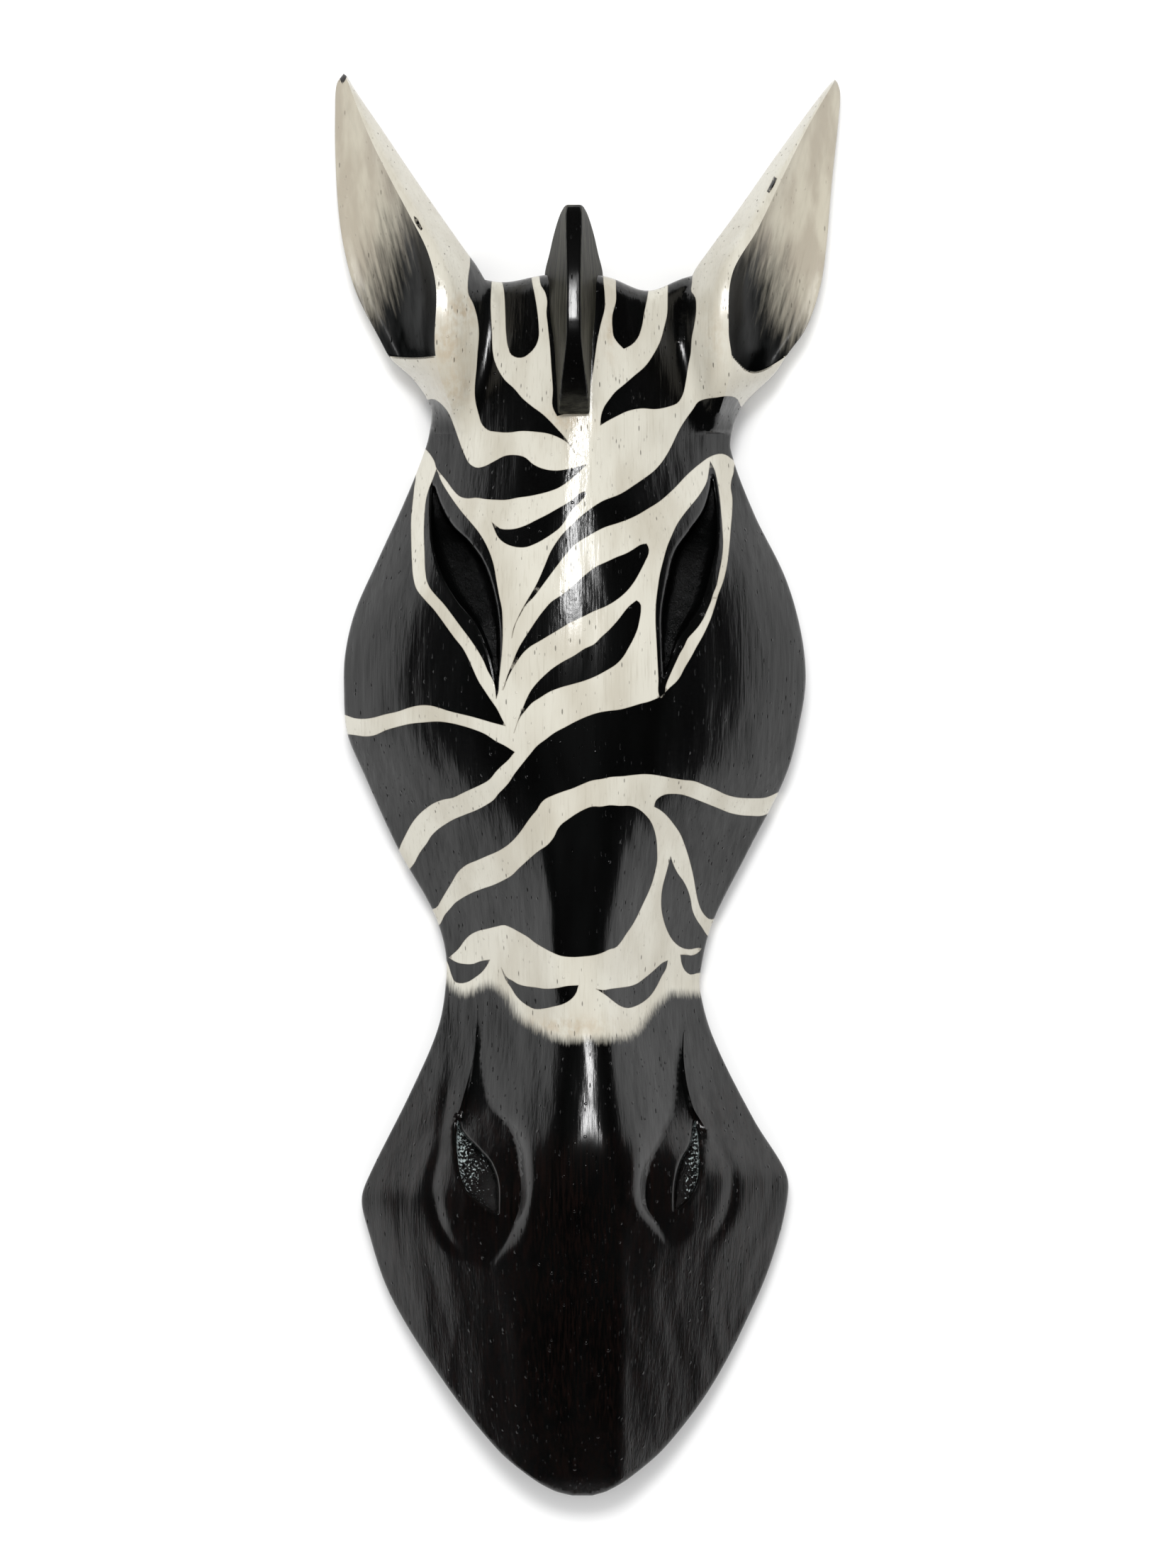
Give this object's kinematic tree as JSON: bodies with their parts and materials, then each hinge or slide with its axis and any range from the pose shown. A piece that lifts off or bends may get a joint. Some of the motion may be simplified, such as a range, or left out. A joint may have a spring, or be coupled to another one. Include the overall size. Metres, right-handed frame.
{
  "type": "zebra mask",
  "caption": "Carved softwood wall mask of a stylised zebra head with scooped ears, a mane crest, almond eyes and a hollow back, painted in cream and black stripes.",
  "frame": {"origin": "middle of the mask's outline, on the flat back that it lies on", "axes": "+X across the face to the viewer's right, +Y up from the chin to the ears, +Z forward out of the face"},
  "size_m": [0.1782, 0.5016, 0.084],
  "materials": {
    "painted_wood": "black and cream hand-painted stripes under clear lacquer"
  },
  "bodies": {
    "root": {"carved_mask": "painted_wood"}
  },
  "joints": []
}
